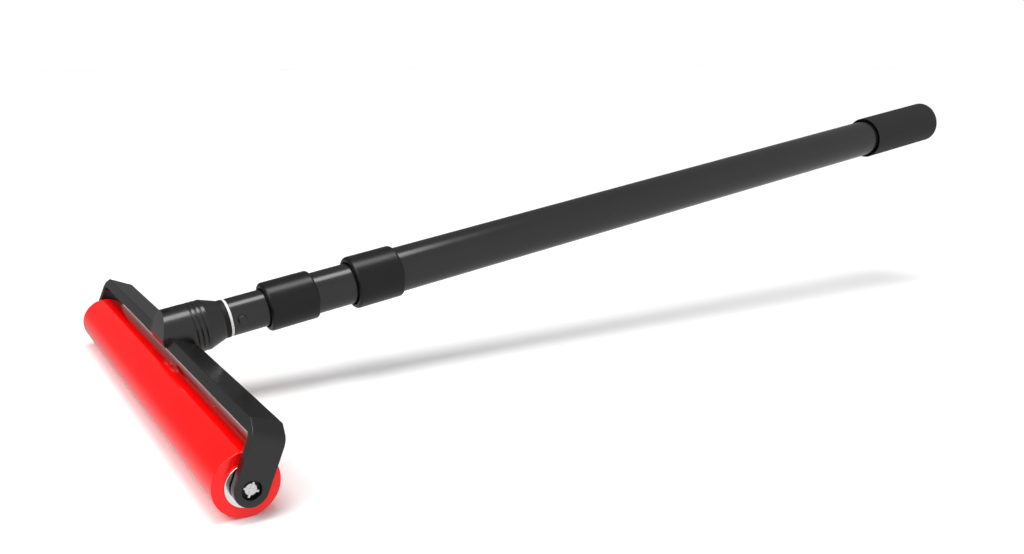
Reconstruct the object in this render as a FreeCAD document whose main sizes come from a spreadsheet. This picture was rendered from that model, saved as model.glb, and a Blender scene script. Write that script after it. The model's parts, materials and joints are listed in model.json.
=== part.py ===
import FreeCAD, Part
import math
import os
import Sketcher
from FreeCAD import Placement, Rotation, Vector

# Seam roller: a rubber-covered roller in a U-shaped yoke, on a three-section telescopic pole.
# Frame: +X along the roller axis (left end positive), +Y towards the hand grip, +Z up.
# The origin lies on the working surface, straight below the middle of the roller.
#
# Turned pieces are drawn as (radius, station) outlines and turned about their own Z axis.
# Stations run outwards along +X or -X from the middle of the roller for its end pieces, and
# along the pole from the foot of the perpendicular on the roller axis for everything on it.

doc = FreeCAD.newDocument("SeamRoller")
sheet = doc.addObject("Spreadsheet::Sheet", "Sizes")

DIMENSIONS = (
    # Roller
    ("roller_diameter", 35.0, "rubber sleeve, outside"),
    ("roller_length", 363.0, "rubber sleeve"),
    ("core_diameter", 23.0, "aluminium core tube, outside"),
    ("core_wall", 1.5, "aluminium core tube"),
    ("edge_chamfer", 0.5, "ends of the rubber sleeve"),
    ("fine_chamfer", 0.3, "rims of metal and plastic pieces"),
    ("cut_margin", 1.0, "cutting shapes reach this far past what they cut"),
    ("hub_stand", 1.5, "hub face beyond the end of the sleeve"),
    ("hub_bore", 12.4, "clear hole round the axle spacer"),
    ("hub_lip", 1.0, "hub behind its circlip groove"),
    ("circlip_width", 1.0, "circlip groove in the hub"),
    ("circlip_depth", 0.45, "circlip groove in the hub"),
    ("circlip_reach", 1.0, "circlip inside the bearing seat, radially"),
    ("circlip_play", 0.05, "circlip in its groove, all round"),
    ("circlip_mouth", 5.0, "gap in the circlip"),
    # Ball bearings, 8 x 16 x 5
    ("bearing_bore", 8.0, "inner ring"),
    ("bearing_outside", 16.0, "outer ring"),
    ("bearing_width", 5.0, "both rings"),
    ("bearing_inset", 7.3, "bearing behind the end of the sleeve"),
    ("race_inner", 10.9, "outside of the inner ring"),
    ("race_outer", 13.5, "inside of the outer ring"),
    ("ball_diameter", 2.4, "ball"),
    ("ball_pitch", 12.2, "circle through the balls"),
    ("ball_play", 0.05, "ball track larger than the ball"),
    ("ball_count", 9, "balls in one bearing"),
    ("cage_thickness", 0.7, "cage, radially"),
    ("cage_width", 3.0, "cage, along the axle"),
    ("shield_thickness", 0.25, "bearing shields"),
    ("shield_gap", 0.25, "shield clear of the inner ring, radially"),
    # Axle
    ("axle_diameter", 8.0, "dead axle"),
    ("axle_play", 0.05, "spacer on the axle"),
    ("spacer_diameter", 10.8, "sleeve between bearing and yoke arm"),
    ("screw_diameter", 4.0, "all machine screws"),
    ("screw_play", 0.05, "screw in its tapped hole, radially"),
    ("screw_clearance", 0.2, "screw in its clearance hole, radially"),
    ("tapped_depth", 12.0, "tapped hole in each end of the axle"),
    ("axle_screw_reach", 10.0, "axle screw beyond the counterbore floor"),
    ("axle_screw_head", 6.6, "head of the axle screw"),
    ("axle_screw_height", 2.0, "head of the axle screw"),
    ("rib_span", 8.0, "cross ribs on the head of the axle screw"),
    ("rib_width", 1.1, "cross ribs on the head of the axle screw"),
    ("rib_rise", 0.35, "cross ribs above the head"),
    ("washer_diameter", 9.2, "lock washer under the axle screw"),
    ("washer_thickness", 0.5, "lock washer under the axle screw"),
    # Yoke
    ("yoke_span", 380.0, "over both arms"),
    ("yoke_width", 17.7, "bar and arms"),
    ("arm_thickness", 5.8, "arms"),
    ("bar_top", 33.0, "top face above the axle"),
    ("bar_thickness", 7.0, "bar between the arms"),
    ("shoulder_span", 358.0, "flat top face, crease to crease"),
    ("shoulder_height", 27.4, "sloping shoulder where it would meet the arm face"),
    ("shoulder_radius", 6.8, "bend from shoulder to arm"),
    ("inner_radius", 3.0, "inside corners"),
    ("arm_end_flat", 0.02, "half of the flat left between the two bends of a round arm end"),
    ("yoke_tilt", 22.4, "degrees, top face falling towards the grip"),
    ("counterbore_diameter", 10.2, "recess of the axle screw"),
    ("counterbore_depth", 4.2, "recess of the axle screw"),
    ("socket_screw_gap", 16.0, "between the two screws under the bar"),
    ("socket_screw_head", 8.8, "pan head under the bar"),
    ("socket_screw_height", 2.4, "pan head under the bar"),
    ("socket_screw_reach", 16.0, "screw above the underside of the bar"),
    ("socket_screw_round", 1.3, "rim of the pan head"),
    ("driver_span", 5.0, "cross recess in the pan head"),
    ("driver_width", 1.2, "cross recess in the pan head"),
    ("driver_depth", 1.3, "cross recess in the pan head"),
    # Pole socket
    ("handle_rise", 8.3, "degrees, pole above the floor"),
    ("handle_offset", 30.0, "pole axis above the roller axis"),
    ("socket_diameter", 33.8, "moulded pole socket"),
    ("socket_groove", 26.4, "station of the first ring groove"),
    ("groove_pitch", 3.1, "ring grooves"),
    ("groove_count", 3, "ring grooves"),
    ("groove_width", 1.3, "ring grooves"),
    ("groove_depth", 0.5, "ring grooves"),
    ("cone_start", 34.7, "station"),
    ("cone_end", 46.2, "station"),
    ("cone_end_diameter", 25.8, "small end of the socket cone"),
    ("thread_diameter", 19.0, "screw tip of the pole"),
    ("thread_play", 0.05, "screw tip in the socket, radially"),
    ("thread_bottom", 26.5, "station, end of the threaded hole"),
    ("lip_foot", 9.5, "front lip in front of the axle, at the bar's underside"),
    ("lip_edge", 11.9, "front lip in front of the axle, at its lower edge"),
    ("lip_edge_height", 29.4, "lower edge of the front lip above the axle"),
    ("lip_top", 15.8, "front lip in front of the axle, at the top"),
    ("lip_top_height", 52.0, "where lip_top is measured, above the axle"),
    ("pilot_depth", 11.0, "screw holes in the socket, above the bar"),
    ("seat_reach", 48.0, "cut for the seat, in front of the axle"),
    # Pole
    ("seal_length", 3.1, "rubber seal ring"),
    ("ring_length", 1.7, "white nylon ring"),
    ("inner_tube_diameter", 25.5, "front section"),
    ("mid_tube_diameter", 29.0, "middle section"),
    ("main_tube_diameter", 32.5, "rear section"),
    ("tube_wall", 1.5, "all three sections"),
    ("tip_wall", 1.6, "hollow end of the screw tip"),
    ("tip_plate", 0.8, "screw tip: gap at the bottom of its hole, and step to its hollow"),
    ("tip_end", 68.0, "station"),
    ("tip_thread_root", 16.8, "bottom of the thread on the screw tip"),
    ("tip_thread_pitch", 5.0, "thread on the screw tip"),
    ("tip_thread_flank", 1.0, "rise of one ridge, along the tip"),
    ("tip_thread_crest", 1.5, "crest of one ridge, along the tip"),
    ("tip_thread_count", 3, "ridges on the screw tip"),
    ("inner_tube_end", 735.0, "station"),
    ("mid_tube_end", 750.0, "station"),
    ("main_tube_end", 766.0, "station"),
    ("bush_plug", 7.0, "guide bush inside its tube"),
    ("bush_flange", 6.0, "guide bush beyond its tube"),
    ("bush_wall", 2.0, "guide bush"),
    ("slide_play", 0.1, "guide bush and collet, radially"),
    ("seat_play", 0.05, "fixed plugs in their tubes, radially"),
    # Twist locks
    ("front_collar_start", 75.8, "station"),
    ("front_collar_end", 110.4, "station"),
    ("front_collar_diameter", 33.8, "front lock collar"),
    ("rear_collar_start", 138.7, "station"),
    ("rear_collar_end", 174.1, "station"),
    ("rear_collar_diameter", 37.4, "rear lock collar"),
    ("collar_round", 2.3, "front rims of the lock collars"),
    ("collar_back_round", 1.9, "rear rims of the lock collars"),
    ("collar_lip_play", 1.0, "front lip of a collar round the thinner tube, radially"),
    ("collar_lip_length", 3.4, "front lip of a collar"),
    ("collar_cone_small", 1.6, "small end of a collar's cone from the thinner tube, radially"),
    ("collar_cone_large", 0.85, "large end of a collar's cone from the thicker tube, radially"),
    ("collar_cone_end", 11.0, "large end of the cone behind the front of the collar"),
    ("collar_bore_play", 1.2, "bore of a collar round the thicker tube, radially"),
    ("collar_rear_play", 0.25, "rear lip of a collar round the thicker tube, radially"),
    ("collar_rear_lip", 2.0, "rear lip of a collar"),
    ("lock_setback", 12.2, "tube and ferrule behind the front of the collar"),
    ("ferrule_wall", 1.1, "ferrule on the thicker tube"),
    ("ferrule_gap", 4.4, "ferrule in front of the rear of the collar"),
    ("collet_start", 3.8, "collet behind the front of the collar"),
    ("collet_end", 10.6, "rear of the collet behind the front of the collar"),
    ("collet_front", 1.55, "front of the collet from the thinner tube, radially"),
    ("collet_rear", 0.7, "rear of the collet from the thicker tube, radially"),
    ("collet_slit", 1.5, "slit in each collet"),
    # Snap button
    ("button_station", 57.0, "station"),
    ("button_diameter", 6.0, "button"),
    ("button_play", 0.1, "button in its holes, radially"),
    ("button_top", 14.35, "crown of the button from the pole axis"),
    ("button_foot", 7.7, "inner face of the button's flange from the pole axis"),
    ("button_flange", 7.6, "flange on the button"),
    ("flange_thickness", 0.8, "flange on the button"),
    ("button_round", 1.0, "crown of the button"),
    ("leaf_thickness", 0.5, "leaf spring"),
    ("leaf_width", 5.0, "leaf spring"),
    ("leaf_start", 53.5, "station"),
    ("leaf_bend", 63.0, "station where the bend starts"),
    ("leaf_radius", 8.45, "outside of the bend, which seats the far leg on the bore of the tip"),
    # Hand grip
    ("grip_start", 682.5, "station"),
    ("grip_end", 769.5, "station"),
    ("grip_diameter", 37.3, "rubber grip"),
    ("grip_recess", 6.0, "annular gap under the grip's front lip, length"),
    ("grip_lip", 0.55, "front lip of the grip"),
    ("grip_end_wall", 2.0, "closed end of the grip"),
    ("grip_round", 1.5, "rear rim of the grip"),
    ("plug_start", 758.0, "station of the tube end plug"),
)

for row, (alias, value, note) in enumerate(DIMENSIONS, start=1):
    sheet.set(f"A{row}", alias)
    sheet.set(f"B{row}", str(value))
    sheet.set(f"C{row}", note)
    sheet.setAlias(f"B{row}", alias)
doc.recompute()


def size(alias):
    """Value of one driving dimension."""
    return float(getattr(sheet, alias))


# Places ---------------------------------------------------------------------------------------

rise = math.radians(size("handle_rise"))
ALONG_POLE = Vector(0, math.cos(rise), math.sin(rise))
ABOVE_POLE = Vector(0, -math.sin(rise), math.cos(rise))
AXLE = Vector(0, 0, size("roller_diameter") / 2)
POLE_FOOT = AXLE + ABOVE_POLE * size("handle_offset")

ON_YOKE = Placement(AXLE, Rotation(Vector(1, 0, 0), -size("yoke_tilt")))
ON_POLE = Placement(POLE_FOOT, Rotation(Vector(1, 0, 0), size("handle_rise") - 90))
TO_LEFT = Placement(AXLE, Rotation(Vector(0, 1, 0), 90))
TO_RIGHT = Placement(AXLE, Rotation(Vector(0, 1, 0), -90))
ACROSS_ROLLER = Placement(AXLE - Vector(size("roller_length") / 2, 0, 0), Rotation(Vector(0, 1, 0), 90))
ACROSS_ARMS = Placement(
    AXLE - Vector(size("yoke_span") / 2 - size("arm_thickness"), 0, 0), Rotation(Vector(0, 1, 0), 90)
)
AT_BUTTON = Placement(POLE_FOOT + ALONG_POLE * size("button_station"), Rotation(Vector(0, 1, 0), 90))
SIDES = (("left", TO_LEFT), ("right", TO_RIGHT))

TOUCHING = 1e-4

nodes = {}


def keep(name, thing):
    """Files the object as a named piece."""
    thing.Label = name
    nodes[name] = thing
    return thing


# Sketched features ----------------------------------------------------------------------------


def origin_plane(body, role):
    """One of the body's own origin planes."""
    return next(part for part in body.Origin.OriginFeatures if part.Role == role)


def new_sketch(body, name, role, offset=None):
    """Empty sketch on one of the body's origin planes."""
    sketch = body.newObject("Sketcher::SketchObject", name)
    sketch.AttachmentSupport = [(origin_plane(body, role), "")]
    sketch.MapMode = "FlatFace"
    if offset is not None:
        sketch.AttachmentOffset = offset
    return sketch


def draw_outline(sketch, corners):
    """Closed polygon through corners given as two expressions each, '0' lying on an axis."""
    first = sketch.GeometryCount
    count = len(corners)
    for k in range(count):
        start, end = Vector(k + 1, k * k, 0), Vector(k + 2, (k + 1) ** 2, 0)
        sketch.addGeometry(Part.LineSegment(start, end), False)
    for k in range(count):
        following = first + (k + 1) % count
        sketch.addConstraint(Sketcher.Constraint("Coincident", first + k, 2, following, 1))
    for k, (across, along) in enumerate(corners):
        for kind, axis, expression in (("DistanceX", -2, across), ("DistanceY", -1, along)):
            if expression == "0":
                sketch.addConstraint(Sketcher.Constraint("PointOnObject", first + k, 1, axis))
                continue
            index = sketch.addConstraint(Sketcher.Constraint(kind, -1, 1, first + k, 1, 1.0))
            sketch.setExpression(f"Constraints[{index}]", expression)


def draw_circle(sketch, across, along, radius):
    """Circle whose centre and radius are expressions."""
    circle = sketch.addGeometry(Part.Circle(Vector(1, 1, 0), Vector(0, 0, 1), 1.0), False)
    for kind, axis, expression in (("DistanceX", -2, across), ("DistanceY", -1, along)):
        if expression == "0":
            sketch.addConstraint(Sketcher.Constraint("PointOnObject", circle, 3, axis))
            continue
        index = sketch.addConstraint(Sketcher.Constraint(kind, -1, 1, circle, 3, 1.0))
        sketch.setExpression(f"Constraints[{index}]", expression)
    index = sketch.addConstraint(Sketcher.Constraint("Radius", circle, 1.0))
    sketch.setExpression(f"Constraints[{index}]", radius)


def turned(name, outline, place):
    """Body turned about its Z axis from an outline of (radius, station) expressions."""
    body = doc.addObject("PartDesign::Body", name)
    sketch = new_sketch(body, name + "_outline", "XZ_Plane")
    draw_outline(sketch, outline)
    turn = body.newObject("PartDesign::Revolution", name + "_turn")
    turn.Profile = sketch
    turn.ReferenceAxis = (sketch, ["V_Axis"])
    turn.Angle = 360
    body.Placement = place
    doc.recompute()
    return keep(name, body)


def pocket(body, sketch, name, length=None, both_ways=False, reverse=False):
    """Pocket through everything, or to a length given as an expression."""
    cut = body.newObject("PartDesign::Pocket", name)
    cut.Profile = sketch
    if both_ways:
        cut.SideType = "Symmetric"
    if length is None:
        cut.Type = "ThroughAll"
    else:
        cut.Type = "Length"
        cut.setExpression("Length", length)
    cut.Reversed = reverse
    doc.recompute()
    return cut


def round_edges(body, name, radius, wanted):
    """Fillets the edges of the body that the test picks out."""
    base = body.Tip
    edges = [f"Edge{k}" for k, edge in enumerate(base.Shape.Edges, start=1) if wanted(edge)]
    fillet = body.newObject("PartDesign::Fillet", name)
    fillet.Base = (base, edges)
    fillet.setExpression("Radius", radius)
    doc.recompute()
    return fillet


def is_rim(radius, station):
    """Test for the circular edge of a turned body at a radius and station."""

    def test(edge):
        curve = edge.Curve
        if not isinstance(curve, Part.Circle):
            return False
        return abs(curve.Radius - radius) < TOUCHING and abs(curve.Center.z - station) < TOUCHING

    return test


def lies_along(axis, **where):
    """Test for a straight edge along an axis, at the given coordinates of its middle."""

    def test(edge):
        ends = [vertex.Point for vertex in edge.Vertexes]
        if len(ends) != 2:
            return False
        run = ends[1] - ends[0]
        if abs(abs(getattr(run, axis)) - run.Length) > TOUCHING:
            return False
        middle = (ends[0] + ends[1]) * 0.5
        return all(abs(abs(getattr(middle, key)) - value) < TOUCHING for key, value in where.items())

    return test


# Solid primitives -----------------------------------------------------------------------------


def cylinder(name, radius, height, start="0"):
    """Cylinder about Z from a start height, all given as expressions."""
    solid = doc.addObject("Part::Cylinder", name)
    solid.setExpression("Radius", radius)
    solid.setExpression("Height", height)
    solid.setExpression("Placement.Base.z", start)
    return solid


def block(name, long, wide, high, start="0"):
    """Box centred on the Z axis from a start height, all given as expressions."""
    solid = doc.addObject("Part::Box", name)
    solid.setExpression("Length", long)
    solid.setExpression("Width", wide)
    solid.setExpression("Height", high)
    solid.setExpression("Placement.Base.x", f"-({long}) / 2")
    solid.setExpression("Placement.Base.y", f"-({wide}) / 2")
    solid.setExpression("Placement.Base.z", start)
    return solid


def cut_from(name, base, *tools):
    """Base with the tools cut away one after another."""
    for k, tool in enumerate(tools):
        cut = doc.addObject("Part::Cut", f"{name}_cut{k}")
        cut.Base = base
        cut.Tool = tool
        base = cut
    return base


def joined(name, *parts):
    """One solid fused from several."""
    fused = doc.addObject("Part::MultiFuse", name)
    fused.Shapes = list(parts)
    return fused


def group(name, parts):
    """Several separate solids in one piece group."""
    compound = doc.addObject("Part::Compound", name + "_group")
    compound.Links = list(parts)
    return keep(name, compound)


def ring(name, inside, outside, length, start="0"):
    """Plain ring about Z from a start height, all given as expressions."""
    outer = cylinder(name + "_outside", outside, length, start)
    height = f"{length} + 2 * Sizes.cut_margin"
    inner = cylinder(name + "_inside", inside, height, f"{start} - Sizes.cut_margin")
    return cut_from(name, outer, inner)


# Roller ---------------------------------------------------------------------------------------

SLEEVE = "Sizes.roller_diameter / 2"
LENGTH = "Sizes.roller_length"
CORE = "Sizes.core_diameter / 2"
turned(
    "roller_sleeve",
    (
        (CORE, "0"),
        (f"{SLEEVE} - Sizes.edge_chamfer", "0"),
        (SLEEVE, "Sizes.edge_chamfer"),
        (SLEEVE, f"{LENGTH} - Sizes.edge_chamfer"),
        (f"{SLEEVE} - Sizes.edge_chamfer", LENGTH),
        (CORE, LENGTH),
    ),
    ACROSS_ROLLER,
)
CORE_BORE = f"{CORE} - Sizes.core_wall"
turned(
    "roller_core",
    ((CORE_BORE, "0"), (CORE, "0"), (CORE, LENGTH), (CORE_BORE, LENGTH)),
    ACROSS_ROLLER,
)

SLEEVE_END = "Sizes.roller_length / 2"
SEAT = f"{SLEEVE_END} - Sizes.bearing_inset"
BEARING_BACK = f"{SEAT} - Sizes.bearing_width"
GROOVE_BACK = f"{BEARING_BACK} - Sizes.circlip_width"
BEARING = "Sizes.bearing_outside / 2"
for side, place in SIDES:
    turned(
        f"{side}_hub",
        (
            (BEARING, f"{GROOVE_BACK} - Sizes.hub_lip"),
            (CORE_BORE, f"{GROOVE_BACK} - Sizes.hub_lip"),
            (CORE_BORE, SLEEVE_END),
            (CORE, SLEEVE_END),
            (CORE, f"{SLEEVE_END} + Sizes.hub_stand - Sizes.fine_chamfer"),
            (f"{CORE} - Sizes.fine_chamfer", f"{SLEEVE_END} + Sizes.hub_stand"),
            ("Sizes.hub_bore / 2", f"{SLEEVE_END} + Sizes.hub_stand"),
            ("Sizes.hub_bore / 2", SEAT),
            (BEARING, SEAT),
            (BEARING, BEARING_BACK),
            (f"{BEARING} + Sizes.circlip_depth", BEARING_BACK),
            (f"{BEARING} + Sizes.circlip_depth", GROOVE_BACK),
            (BEARING, GROOVE_BACK),
        ),
        place,
    )


def bearing(side, place):
    """Ball bearing of one roller end: two grooved rings, balls in a cage, and two shields."""
    pitch = "Sizes.ball_pitch / 2"
    middle = f"{SEAT} - Sizes.bearing_width / 2"
    tags = (
        ("inner", "Sizes.bearing_bore / 2", "Sizes.race_inner / 2"),
        ("outer", "Sizes.race_outer / 2", BEARING),
    )
    for tag, inside, outside in tags:
        name = f"{side}_bearing_{tag}_ring"
        track = doc.addObject("Part::Torus", name + "_track")
        track.setExpression("Radius1", pitch)
        track.setExpression("Radius2", "Sizes.ball_diameter / 2 + Sizes.ball_play")
        track.setExpression("Placement.Base.z", middle)
        blank = ring(name, inside, outside, "Sizes.bearing_width", BEARING_BACK)
        keep(name, cut_from(name + "_race", blank, track)).Placement = place

    # The balls stand half a step round from the seam of the rings. The cage's pockets are round
    # holes drilled straight through it.
    balls = []
    pockets = []
    count = int(size("ball_count"))
    for k in range(count):
        turn = 360.0 * (k + 0.5) / count
        ball = doc.addObject("Part::Sphere", f"{side}_ball")
        ball.setExpression("Radius", "Sizes.ball_diameter / 2")
        hole = cylinder(
            f"{side}_pocket{k}", "Sizes.ball_diameter / 2 + Sizes.ball_play", "2 * Sizes.cage_thickness"
        )
        radial = Vector(math.cos(math.radians(turn)), math.sin(math.radians(turn)), 0)
        hole.Placement = Placement(Vector(), Rotation(Vector(0, 0, 1), radial))
        for solid, radius in ((ball, pitch), (hole, f"({pitch} - Sizes.cage_thickness)")):
            solid.setExpression("Placement.Base.x", f"{radius} * cos({turn} deg)")
            solid.setExpression("Placement.Base.y", f"{radius} * sin({turn} deg)")
            solid.setExpression("Placement.Base.z", middle)
        balls.append(ball)
        pockets.append(hole)
    group(f"{side}_bearing_balls", balls).Placement = place

    name = f"{side}_bearing_cage"
    blank = ring(
        name,
        f"{pitch} - Sizes.cage_thickness / 2",
        f"{pitch} + Sizes.cage_thickness / 2",
        "Sizes.cage_width",
        f"{middle} - Sizes.cage_width / 2",
    )
    keep(name, cut_from(name + "_pockets", blank, *pockets)).Placement = place

    inside = "Sizes.race_inner / 2 + Sizes.shield_gap"
    far = f"{SEAT} - Sizes.shield_thickness"
    shields = [
        ring(f"{side}_shield{k}", inside, "Sizes.race_outer / 2", "Sizes.shield_thickness", start)
        for k, start in enumerate((BEARING_BACK, far))
    ]
    group(f"{side}_bearing_shields", shields).Placement = place


for side, place in SIDES:
    bearing(side, place)

    name = f"{side}_circlip"
    outside = f"{BEARING} + Sizes.circlip_depth - Sizes.circlip_play"
    thickness = "Sizes.circlip_width - 2 * Sizes.circlip_play"
    start = f"{GROOVE_BACK} + Sizes.circlip_play"
    spring_ring = ring(name, f"{BEARING} - Sizes.circlip_reach", outside, thickness, start)
    mouth_height = f"{thickness} + 2 * Sizes.cut_margin"
    mouth = block(name + "_mouth", "Sizes.bearing_outside", "Sizes.circlip_mouth", mouth_height)
    mouth.setExpression("Placement.Base.x", "0")
    mouth.setExpression("Placement.Base.z", f"{start} - Sizes.cut_margin")
    keep(name, cut_from(name + "_open", spring_ring, mouth)).Placement = place


# Axle and its fasteners -----------------------------------------------------------------------

ARM_INSIDE = "Sizes.yoke_span / 2 - Sizes.arm_thickness"
AXLE_LENGTH = "Sizes.yoke_span - 2 * Sizes.arm_thickness"
SHAFT = "Sizes.axle_diameter / 2"
TAPPED = "Sizes.screw_diameter / 2 + Sizes.screw_play"
turned(
    "axle_shaft",
    (
        (TAPPED, "0"),
        (f"{SHAFT} - Sizes.fine_chamfer", "0"),
        (SHAFT, "Sizes.fine_chamfer"),
        (SHAFT, f"{AXLE_LENGTH} - Sizes.fine_chamfer"),
        (f"{SHAFT} - Sizes.fine_chamfer", AXLE_LENGTH),
        (TAPPED, AXLE_LENGTH),
        (TAPPED, f"{AXLE_LENGTH} - Sizes.tapped_depth"),
        ("0", f"{AXLE_LENGTH} - Sizes.tapped_depth"),
        ("0", "Sizes.tapped_depth"),
        (TAPPED, "Sizes.tapped_depth"),
    ),
    ACROSS_ARMS,
)
for side, place in SIDES:
    spacer = ring(
        f"{side}_axle_spacer",
        f"{SHAFT} + Sizes.axle_play",
        "Sizes.spacer_diameter / 2",
        f"{ARM_INSIDE} - ({SEAT})",
        SEAT,
    )
    keep(f"{side}_axle_spacer", spacer).Placement = place

FLOOR = "Sizes.yoke_span / 2 - Sizes.counterbore_depth"
washers = []
screws = []
for side, place in SIDES:
    washer = ring(
        f"{side}_washer",
        "Sizes.screw_diameter / 2 + Sizes.screw_clearance",
        "Sizes.washer_diameter / 2",
        "Sizes.washer_thickness",
        FLOOR,
    )
    washer.Placement = place
    washers.append(washer)

    under_head = f"{FLOOR} + Sizes.washer_thickness"
    shank = cylinder(
        f"{side}_shank",
        "Sizes.screw_diameter / 2",
        "Sizes.axle_screw_reach + Sizes.washer_thickness",
        f"{FLOOR} - Sizes.axle_screw_reach",
    )
    head = cylinder(f"{side}_head", "Sizes.axle_screw_head / 2", "Sizes.axle_screw_height", under_head)
    rib_height = "Sizes.axle_screw_height + Sizes.rib_rise"
    ribs = [
        block(f"{side}_rib0", "Sizes.rib_span", "Sizes.rib_width", rib_height, under_head),
        block(f"{side}_rib1", "Sizes.rib_width", "Sizes.rib_span", rib_height, under_head),
    ]
    screw = joined(f"{side}_axle_screw", shank, head, *ribs)
    # The ribs stand square to the bar.
    screw.Placement = ON_YOKE.multiply(Placement(Vector(), place.Rotation))
    screws.append(screw)
group("axle_washers", washers)
group("axle_screws", screws)


# Yoke frame: bent flat bar with sloping shoulders and round-ended arms ----------------------

yoke = doc.addObject("PartDesign::Body", "yoke_frame")
profile = new_sketch(yoke, "yoke_profile", "XZ_Plane")
END = "Sizes.yoke_width / 2"
UNDERSIDE = "Sizes.bar_top - Sizes.bar_thickness"
half_outline = (
    ("Sizes.shoulder_span / 2", "Sizes.bar_top"),
    ("Sizes.yoke_span / 2", "Sizes.shoulder_height"),
    ("Sizes.yoke_span / 2", f"-{END}"),
    (ARM_INSIDE, f"-{END}"),
    (ARM_INSIDE, UNDERSIDE),
)
mirrored = [(f"-({across})", along) for across, along in reversed(half_outline)]
draw_outline(profile, list(half_outline) + mirrored)
bar = yoke.newObject("PartDesign::Pad", "yoke_pad")
bar.Profile = profile
bar.SideType = "Symmetric"
bar.setExpression("Length", "Sizes.yoke_width")
doc.recompute()

outer_face = size("yoke_span") / 2
inner_face = outer_face - size("arm_thickness")
round_edges(
    yoke,
    "shoulder_bends",
    "Sizes.shoulder_radius",
    lies_along("y", x=outer_face, z=size("shoulder_height")),
)
round_edges(
    yoke,
    "inside_corners",
    "Sizes.inner_radius",
    lies_along("y", x=inner_face, z=size("bar_top") - size("bar_thickness")),
)
round_edges(
    yoke,
    "round_arm_ends",
    "Sizes.yoke_width / 2 - Sizes.arm_end_flat",
    lies_along("x", y=size("yoke_width") / 2, z=size("yoke_width") / 2),
)

bores = new_sketch(yoke, "axle_screw_bores", "XZ_Plane")
HOLE = "Sizes.screw_diameter / 2 + Sizes.screw_clearance"
WIDE = "Sizes.counterbore_diameter / 2"
for sign in ("", "-"):
    draw_outline(
        bores,
        (
            (f"{sign}({ARM_INSIDE} - Sizes.cut_margin)", "0"),
            (f"{sign}({ARM_INSIDE} - Sizes.cut_margin)", HOLE),
            (f"{sign}({FLOOR})", HOLE),
            (f"{sign}({FLOOR})", WIDE),
            (f"{sign}(Sizes.yoke_span / 2 + Sizes.cut_margin)", WIDE),
            (f"{sign}(Sizes.yoke_span / 2 + Sizes.cut_margin)", "0"),
        ),
    )
groove = yoke.newObject("PartDesign::Groove", "axle_screw_groove")
groove.Profile = bores
groove.ReferenceAxis = (bores, ["H_Axis"])
groove.Angle = 360
doc.recompute()

holes = new_sketch(yoke, "socket_screw_holes", "XY_Plane")
for sign in ("", "-"):
    draw_circle(holes, f"{sign}Sizes.socket_screw_gap / 2", "0", HOLE)
pocket(yoke, holes, "socket_screw_pockets", reverse=True)
yoke.Placement = ON_YOKE
keep("yoke_frame", yoke)


# Pole socket: moulded boss that straddles the bar, with ring grooves and a cone --------------

BARREL = "Sizes.socket_diameter / 2"
BORE = "Sizes.thread_diameter / 2 + Sizes.thread_play"
outline = [("0", "0"), (BARREL, "0")]
for k in range(int(size("groove_count"))):
    middle = f"Sizes.socket_groove + {k} * Sizes.groove_pitch"
    outline += [
        (BARREL, f"{middle} - Sizes.groove_width / 2"),
        (f"{BARREL} - Sizes.groove_depth", middle),
        (BARREL, f"{middle} + Sizes.groove_width / 2"),
    ]
outline += [
    (BARREL, "Sizes.cone_start"),
    ("Sizes.cone_end_diameter / 2", "Sizes.cone_end"),
    (BORE, "Sizes.cone_end"),
    (BORE, "Sizes.thread_bottom"),
    ("0", "Sizes.thread_bottom"),
]
socket = turned("pole_socket", outline, ON_POLE)

# The seat is drawn in the yoke's own directions: across is along the bar's top face towards the
# grip, and along is up from the axle.
seat_turn = 90 - size("yoke_tilt") - size("handle_rise")
seat_offset = Placement(Vector(size("handle_offset"), 0, 0), Rotation(Vector(0, 0, 1), seat_turn))
seat = new_sketch(socket, "socket_seat", "YZ_Plane", seat_offset)
HALF = "Sizes.yoke_width / 2"
FAR = "-Sizes.seat_reach"
draw_outline(
    seat,
    (
        (FAR, "-Sizes.yoke_width"),
        (HALF, "-Sizes.yoke_width"),
        (HALF, "Sizes.bar_top"),
        (f"-{HALF}", "Sizes.bar_top"),
        (f"-{HALF}", UNDERSIDE),
        ("-Sizes.lip_foot", UNDERSIDE),
        ("-Sizes.lip_edge", "Sizes.lip_edge_height"),
        ("-Sizes.lip_top", "Sizes.lip_top_height"),
        (FAR, "Sizes.lip_top_height"),
    ),
)
pocket(socket, seat, "socket_seat_pocket", both_ways=True)

pilot_offset = Placement(Vector(0, size("handle_offset"), 0), Rotation(Vector(1, 0, 0), seat_turn))
pilots = new_sketch(socket, "socket_pilots", "XY_Plane", pilot_offset)
for sign in ("", "-"):
    draw_circle(pilots, f"{sign}Sizes.socket_screw_gap / 2", "0", TAPPED)
pocket(socket, pilots, "socket_pilot_pockets", "Sizes.bar_top + Sizes.pilot_depth", reverse=True)

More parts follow.
